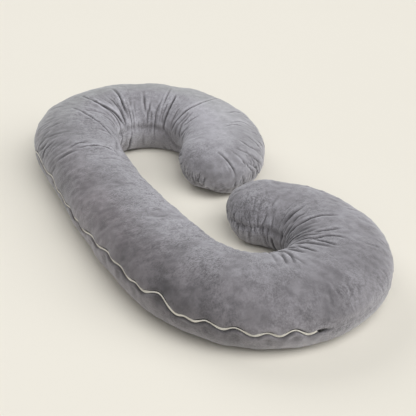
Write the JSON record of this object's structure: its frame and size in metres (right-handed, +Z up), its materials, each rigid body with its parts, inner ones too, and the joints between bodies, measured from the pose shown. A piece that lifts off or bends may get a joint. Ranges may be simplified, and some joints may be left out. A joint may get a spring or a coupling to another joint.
{
  "type": "body pillow",
  "caption": "C-shaped stuffed body pillow with two arms curling towards each other and a zip in the seam of its long side.",
  "frame": {"origin": "centre of the bounding box at the underside, on the surface the pillow lies on", "axes": "+X along the long side from the head bend to the foot bend, +Y towards the side where the two arms meet, +Z up"},
  "size_m": [1.4455, 0.7222, 0.1911],
  "materials": {
    "velour": "short-pile grey velour, matt with a soft sheen and brushed nap patches",
    "zip_tape": "off-white woven tape with a fine nylon coil",
    "slider_metal": "dark grey painted slider"
  },
  "bodies": {
    "root": {"pillow": "velour", "zip_chain": "zip_tape", "zip_slider": "slider_metal"}
  },
  "joints": []
}
